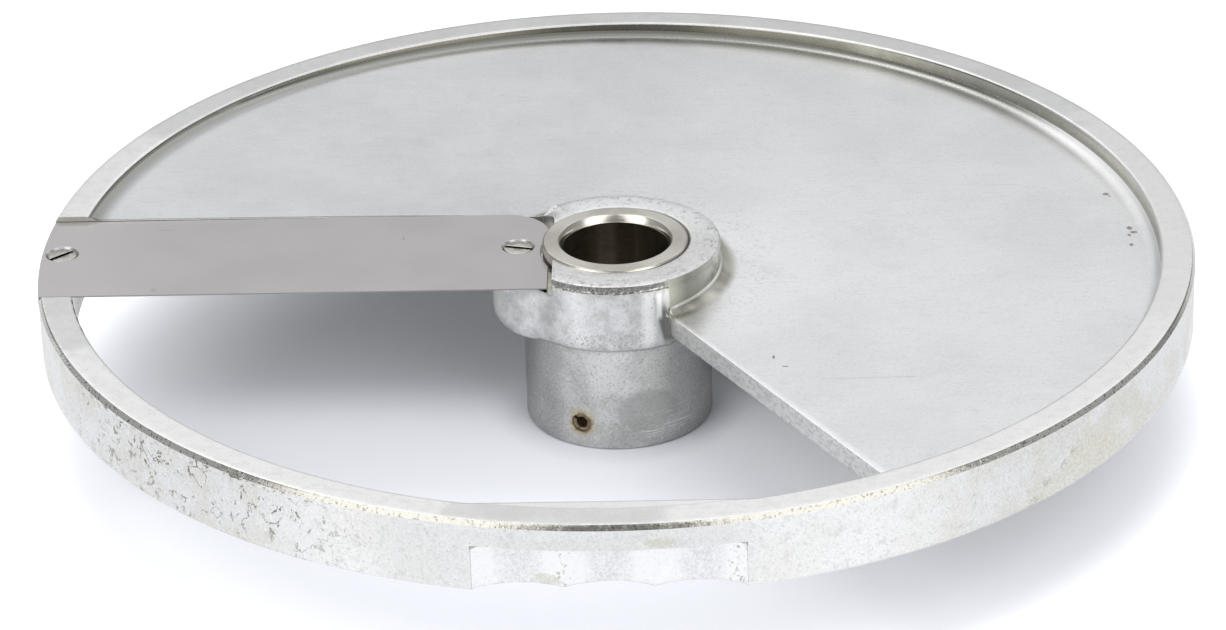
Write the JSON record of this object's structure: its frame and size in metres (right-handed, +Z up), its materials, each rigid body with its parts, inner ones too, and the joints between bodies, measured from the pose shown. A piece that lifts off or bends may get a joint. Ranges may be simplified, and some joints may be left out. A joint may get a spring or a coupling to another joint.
{
  "type": "slicing disc",
  "caption": "Cast vegetable-cutter slicing disc: a helically ramped plate in a deep rim, a screwed-on blade over an open sector, and a sleeved hub with a round bore.",
  "frame": {"origin": "on the bore axis, at the hub's foot, which is the level that the disc stands on", "axes": "+Z up along the bore axis to the blade side; the blade runs from the hub along -X and its cutting edge faces -Y"},
  "size_m": [0.205, 0.205, 0.0337],
  "materials": {
    "cast_aluminium": "cast, with the plate, rim top and hub machined satin; lightly worn and stained",
    "sleeve_steel": "turned satin",
    "blade_steel": "rolled satin with a ground bevel",
    "screw_steel": "bright, slightly worn",
    "pin_steel": "dark spring steel, rusted"
  },
  "bodies": {
    "root": {"disc_body": "cast_aluminium", "hub_sleeve": "sleeve_steel", "slicing_blade": "blade_steel", "blade_screws": "screw_steel", "spring_pin": "pin_steel"}
  },
  "joints": []
}
